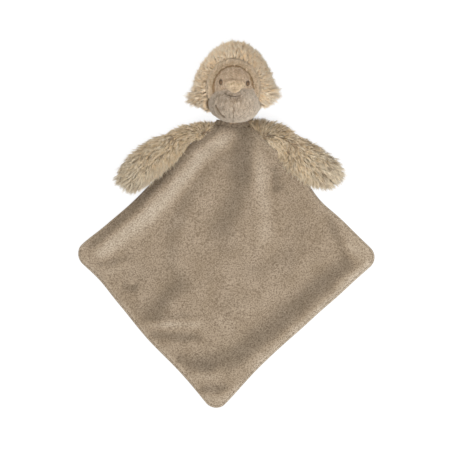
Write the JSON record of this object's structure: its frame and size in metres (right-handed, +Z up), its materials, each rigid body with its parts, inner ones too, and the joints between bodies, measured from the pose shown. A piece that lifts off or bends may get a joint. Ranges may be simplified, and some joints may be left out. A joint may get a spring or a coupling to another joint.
{
  "type": "comfort blanket lovey",
  "caption": "Diamond-laid two-layer plush cloth with a stuffed animal head at its top corner and furry arms in its upper side seams.",
  "frame": {"origin": "middle of the cloth, on the flat underside that it rests on", "axes": "+Y from the bottom corner of the cloth to the top of the head, +Z up out of the face, +X to the right as seen from above"},
  "size_m": [0.3402, 0.419, 0.0772],
  "materials": {
    "velour": "matte",
    "velour_back": "matte",
    "hood_fur": "matte",
    "arm_fur": "matte",
    "face_velour": "matte",
    "muzzle_velour": "matte",
    "bridge_velour": "matte",
    "face_roll": "matte",
    "eye_thread": "satin",
    "stitch_thread": "matte",
    "filling": "matte"
  },
  "bodies": {
    "root": {"blanket_back": "velour_back", "blanket_front": "velour", "neck_gather": "velour", "shoulder_left": "arm_fur", "shoulder_right": "arm_fur"},
    "neck": {"neck_sleeve": "velour", "neck_stuffing": "filling"},
    "neck_seam": {"neck_seam_thread": "stitch_thread"},
    "head": {"head_stuffing": "filling", "hood_left": "hood_fur", "hood_right": "hood_fur", "face_panel": "face_velour", "face_roll": "face_roll", "nose_bridge": "bridge_velour", "muzzle_left": "muzzle_velour", "muzzle_right": "muzzle_velour", "muzzle_stuffing": "filling", "eye_left": "eye_thread", "eye_right": "eye_thread", "smile_stitch_left": "stitch_thread", "smile_stitch_right": "stitch_thread"},
    "arm_left": {"arm_left_sleeve": "arm_fur", "arm_left_stuffing": "filling"},
    "arm_right": {"arm_right_sleeve": "arm_fur", "arm_right_stuffing": "filling"}
  },
  "joints": [
    {"name": "neck_nod", "type": "hinge", "parent": "root", "child": "neck", "pos_m": [0.002, 0.16, 0.019], "axis": [1, 0, 0], "range_deg": [-45, 40]},
    {"name": "neck_tilt", "type": "hinge", "parent": "neck", "child": "neck_seam", "pos_m": [0.002, 0.16, 0.019], "axis": [0, 0, 1], "range_deg": [-20, 20]},
    {"name": "neck_turn", "type": "hinge", "parent": "neck_seam", "child": "head", "pos_m": [0.002, 0.16, 0.019], "axis": [0, 1, 0], "range_deg": [-60, 60]},
    {"name": "shoulder_left_lift", "type": "hinge", "parent": "root", "child": "arm_left", "pos_m": [-0.05741, 0.13801, 0.0155], "axis": [-0.6018, 0.7986, 0], "range_deg": [-80, 80]},
    {"name": "shoulder_right_lift", "type": "hinge", "parent": "root", "child": "arm_right", "pos_m": [0.06312, 0.13825, 0.0155], "axis": [-0.5878, -0.809, 0], "range_deg": [-80, 80]}
  ]
}
